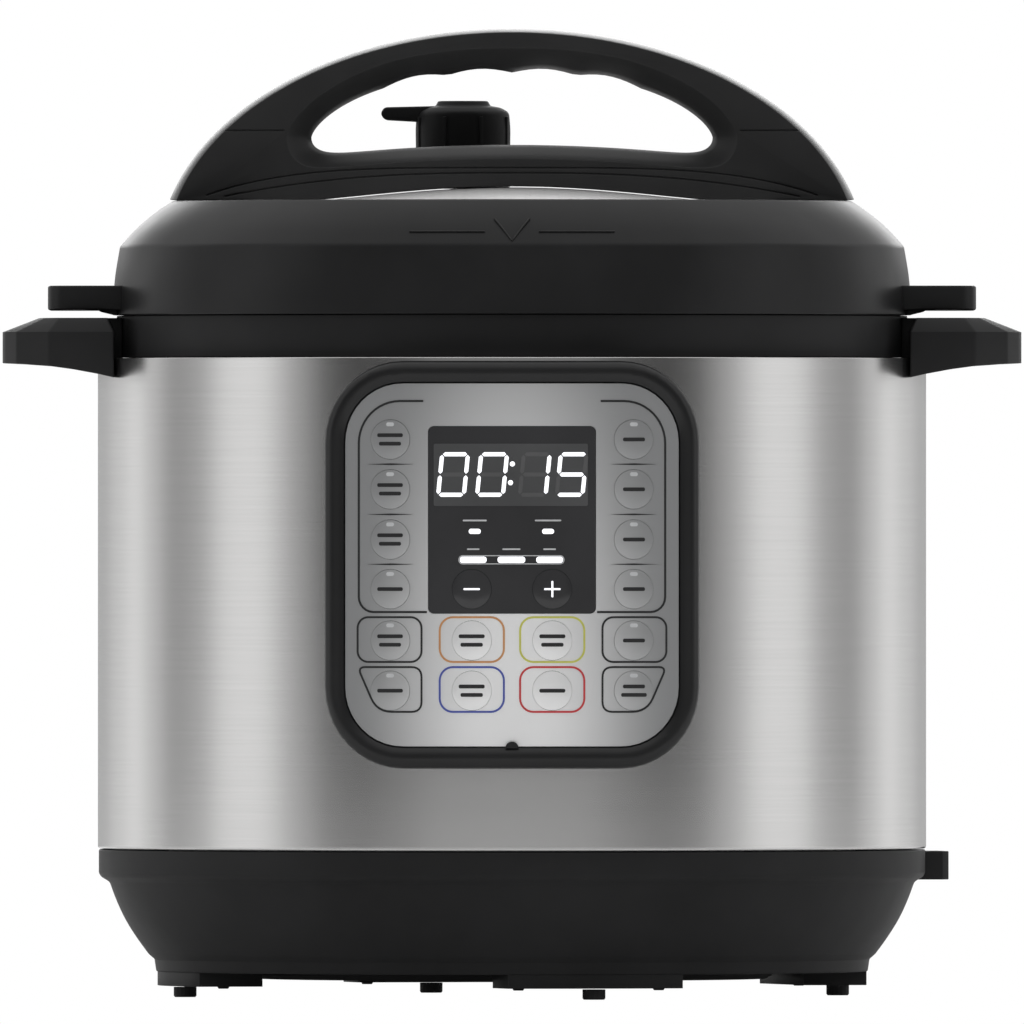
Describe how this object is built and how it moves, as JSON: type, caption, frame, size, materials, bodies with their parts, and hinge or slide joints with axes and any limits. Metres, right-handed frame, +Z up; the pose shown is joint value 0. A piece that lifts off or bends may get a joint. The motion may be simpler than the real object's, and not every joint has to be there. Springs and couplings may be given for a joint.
{
  "type": "electric pressure cooker",
  "caption": "Round countertop pressure cooker with a locking lid under an arched handle, a steel shell, a keypad with a digit display, and a removable pot.",
  "frame": {"origin": "centre of the footprint on the surface it stands on, which is the pot's axis at the soles of the feet", "axes": "+Z up, -Y the front with the control panel, +X to the right seen from the front, along the line of the two side handles"},
  "size_m": [0.34, 0.302, 0.323],
  "materials": {
    "black_plastic": "moulded, fine satin grain",
    "gloss_black": "smooth satin gloss",
    "brushed_steel": "brushed round the shell",
    "aluminium": "satin",
    "silver_film": "silver printed overlay",
    "silicone": "translucent white silicone, matte",
    "red_silicone": "matte silicone",
    "rubber": "matte",
    "smoked": "smoked window film, gloss",
    "display": "digit display face",
    "circuit": "green circuit board",
    "clear": "clear moulded plastic",
    "spring_steel": "drawn wire",
    "brass": "bright"
  },
  "bodies": {
    "base": {"base_housing": "black_plastic", "bottom_cover": "black_plastic", "collector_bracket": "black_plastic", "control_board": "circuit", "display_module": "display", "display_window": "smoked", "foot_1": "rubber", "foot_2": "rubber", "foot_3": "rubber", "foot_4": "rubber", "heating_plate": "aluminium", "housing_shell": "brushed_steel", "inlet_pin_1": "brass", "inlet_pin_2": "brass", "inlet_pin_3": "brass", "left_handle": "black_plastic", "outer_pot": "aluminium", "panel_bezel": "gloss_black", "panel_plate": "silver_film", "power_board": "circuit", "power_inlet": "black_plastic", "right_handle": "black_plastic", "sensor_bracket": "brushed_steel", "sensor_spring": "spring_steel", "upper_collar": "black_plastic"},
    "seal": {"sealing_ring": "silicone"},
    "lid": {"lid_cover": "black_plastic", "lid_top_plate": "brushed_steel", "lid_handle": "black_plastic", "handle_screw_left": "brushed_steel", "handle_screw_right": "brushed_steel", "lid_inner_pan": "brushed_steel", "lid_locking_ring": "brushed_steel", "sealing_ring_rack": "brushed_steel", "steam_pipe": "brushed_steel", "anti_block_shield": "brushed_steel"},
    "steam_valve": {"steam_release_handle": "black_plastic"},
    "float_valve": {"float_valve_pin": "brushed_steel", "float_valve_cap": "red_silicone"},
    "pot": {"inner_pot": "brushed_steel"},
    "collector": {"condensation_collector": "clear"},
    "sensor": {"temperature_sensor": "aluminium"},
    "key_left_1": {"key_left_1": "silver_film"},
    "key_right_1": {"key_right_1": "silver_film"},
    "key_left_2": {"key_left_2": "silver_film"},
    "key_right_2": {"key_right_2": "silver_film"},
    "key_left_3": {"key_left_3": "silver_film"},
    "key_right_3": {"key_right_3": "silver_film"},
    "key_left_4": {"key_left_4": "silver_film"},
    "key_right_4": {"key_right_4": "silver_film"},
    "key_left_5": {"key_left_5": "silver_film"},
    "key_right_5": {"key_right_5": "silver_film"},
    "key_left_6": {"key_left_6": "silver_film"},
    "key_right_6": {"key_right_6": "silver_film"},
    "key_minus": {"key_minus": "smoked"},
    "key_plus": {"key_plus": "smoked"},
    "key_middle_1": {"key_middle_1": "silver_film"},
    "key_middle_2": {"key_middle_2": "silver_film"},
    "key_middle_3": {"key_middle_3": "silver_film"},
    "key_middle_4": {"key_middle_4": "silver_film"}
  },
  "joints": [
    {"name": "lid_lift", "type": "slide", "parent": "base", "child": "seal", "axis": [0, 0, 1], "range_m": [0, 0.36]},
    {"name": "lid_turn", "type": "hinge", "parent": "seal", "child": "lid", "pos_m": [0, 0, 0.24], "axis": [0, 0, 1], "range_deg": [0, 30]},
    {"name": "steam_release_turn", "type": "hinge", "parent": "lid", "child": "steam_valve", "pos_m": [-0.0164, 0.038, 0.285], "axis": [0, 0, 1], "range_deg": [-45, 0]},
    {"name": "float_valve_rise", "type": "slide", "parent": "lid", "child": "float_valve", "axis": [0, 0, 1], "range_m": [0, 0.005]},
    {"name": "pot_lift", "type": "slide", "parent": "base", "child": "pot", "axis": [0, 0, 1], "range_m": [0, 0.18]},
    {"name": "collector_slide", "type": "slide", "parent": "base", "child": "collector", "axis": [0, 1, 0], "range_m": [0, 0.05]},
    {"name": "sensor_press", "type": "slide", "parent": "base", "child": "sensor", "axis": [0, 0, -1], "range_m": [0, 0.002], "stiffness_N_per_m": 400, "deforming": ["sensor_spring"]},
    {"name": "key_left_1_press", "type": "slide", "parent": "base", "child": "key_left_1", "axis": [0.1688, 0.9857, 0], "range_m": [0, 0.0005], "stiffness_N_per_m": 400},
    {"name": "key_left_2_press", "type": "slide", "parent": "base", "child": "key_left_2", "axis": [0.1688, 0.9857, 0], "range_m": [0, 0.0005], "stiffness_N_per_m": 400},
    {"name": "key_left_3_press", "type": "slide", "parent": "base", "child": "key_left_3", "axis": [0.1688, 0.9857, 0], "range_m": [0, 0.0005], "stiffness_N_per_m": 400},
    {"name": "key_left_4_press", "type": "slide", "parent": "base", "child": "key_left_4", "axis": [0.1688, 0.9857, 0], "range_m": [0, 0.0005], "stiffness_N_per_m": 400},
    {"name": "key_left_5_press", "type": "slide", "parent": "base", "child": "key_left_5", "axis": [0.1688, 0.9857, 0], "range_m": [0, 0.0005], "stiffness_N_per_m": 400},
    {"name": "key_left_6_press", "type": "slide", "parent": "base", "child": "key_left_6", "axis": [0.1688, 0.9857, 0], "range_m": [0, 0.0005], "stiffness_N_per_m": 400},
    {"name": "key_middle_1_press", "type": "slide", "parent": "base", "child": "key_middle_1", "axis": [0.0558, 0.9984, 0], "range_m": [0, 0.0005], "stiffness_N_per_m": 400},
    {"name": "key_middle_2_press", "type": "slide", "parent": "base", "child": "key_middle_2", "axis": [-0.0558, 0.9984, 0], "range_m": [0, 0.0005], "stiffness_N_per_m": 400},
    {"name": "key_middle_3_press", "type": "slide", "parent": "base", "child": "key_middle_3", "axis": [0.0558, 0.9984, 0], "range_m": [0, 0.0005], "stiffness_N_per_m": 400},
    {"name": "key_middle_4_press", "type": "slide", "parent": "base", "child": "key_middle_4", "axis": [-0.0558, 0.9984, 0], "range_m": [0, 0.0005], "stiffness_N_per_m": 400},
    {"name": "key_minus_press", "type": "slide", "parent": "base", "child": "key_minus", "axis": [0.0558, 0.9984, 0], "range_m": [0, 0.0005], "stiffness_N_per_m": 400},
    {"name": "key_plus_press", "type": "slide", "parent": "base", "child": "key_plus", "axis": [-0.0558, 0.9984, 0], "range_m": [0, 0.0005], "stiffness_N_per_m": 400},
    {"name": "key_right_1_press", "type": "slide", "parent": "base", "child": "key_right_1", "axis": [-0.1688, 0.9857, 0], "range_m": [0, 0.0005], "stiffness_N_per_m": 400},
    {"name": "key_right_2_press", "type": "slide", "parent": "base", "child": "key_right_2", "axis": [-0.1688, 0.9857, 0], "range_m": [0, 0.0005], "stiffness_N_per_m": 400},
    {"name": "key_right_3_press", "type": "slide", "parent": "base", "child": "key_right_3", "axis": [-0.1688, 0.9857, 0], "range_m": [0, 0.0005], "stiffness_N_per_m": 400},
    {"name": "key_right_4_press", "type": "slide", "parent": "base", "child": "key_right_4", "axis": [-0.1688, 0.9857, 0], "range_m": [0, 0.0005], "stiffness_N_per_m": 400},
    {"name": "key_right_5_press", "type": "slide", "parent": "base", "child": "key_right_5", "axis": [-0.1688, 0.9857, 0], "range_m": [0, 0.0005], "stiffness_N_per_m": 400},
    {"name": "key_right_6_press", "type": "slide", "parent": "base", "child": "key_right_6", "axis": [-0.1688, 0.9857, 0], "range_m": [0, 0.0005], "stiffness_N_per_m": 400}
  ],
  "couplings": [
    {"joint": "pot_lift", "follows": "lid_lift", "ratio": 0.5}
  ]
}
